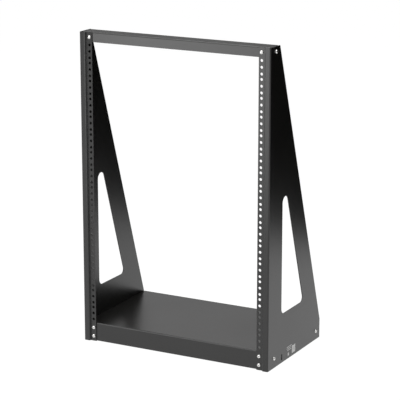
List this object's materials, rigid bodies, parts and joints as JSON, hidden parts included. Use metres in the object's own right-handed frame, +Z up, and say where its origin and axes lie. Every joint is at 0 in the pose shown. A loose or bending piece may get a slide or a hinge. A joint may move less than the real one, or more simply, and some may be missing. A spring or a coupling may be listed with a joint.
{
  "type": "two post open frame rack",
  "caption": "Open frame floor rack of folded black sheet steel: drilled front flanges, sloping side panels with windows, a shallow floor tray and a top channel.",
  "frame": {"origin": "on the floor, midway between the sides and midway between the front and rear edges", "axes": "+X to the right seen from the front, +Y from the front (drilled flanges) to the rear, +Z up"},
  "size_m": [0.5228, 0.3, 0.7872],
  "materials": {
    "powder_coat": "smooth semi-gloss black powder coat",
    "screw_plating": "bright zinc plating",
    "nut_plating": "dull zinc plating"
  },
  "bodies": {
    "root": {"left_side_frame": "powder_coat", "right_side_frame": "powder_coat", "top_bar": "powder_coat", "base_tray": "powder_coat", "front_screw_top_left": "screw_plating", "front_screw_top_right": "screw_plating", "front_screw_upper_left": "screw_plating", "front_screw_upper_right": "screw_plating", "front_screw_lower_left": "screw_plating", "front_screw_lower_right": "screw_plating", "front_nut_top_left": "nut_plating", "front_nut_top_right": "nut_plating", "front_nut_upper_left": "nut_plating", "front_nut_upper_right": "nut_plating", "front_nut_lower_left": "nut_plating", "front_nut_lower_right": "nut_plating", "side_screw_top_left": "screw_plating", "side_screw_top_right": "screw_plating", "side_screw_front_left": "screw_plating", "side_screw_front_right": "screw_plating", "side_screw_rear_left": "screw_plating", "side_screw_rear_right": "screw_plating", "side_nut_top_left": "nut_plating", "side_nut_top_right": "nut_plating", "side_nut_front_left": "nut_plating", "side_nut_front_right": "nut_plating", "side_nut_rear_left": "nut_plating", "side_nut_rear_right": "nut_plating"}
  },
  "joints": []
}
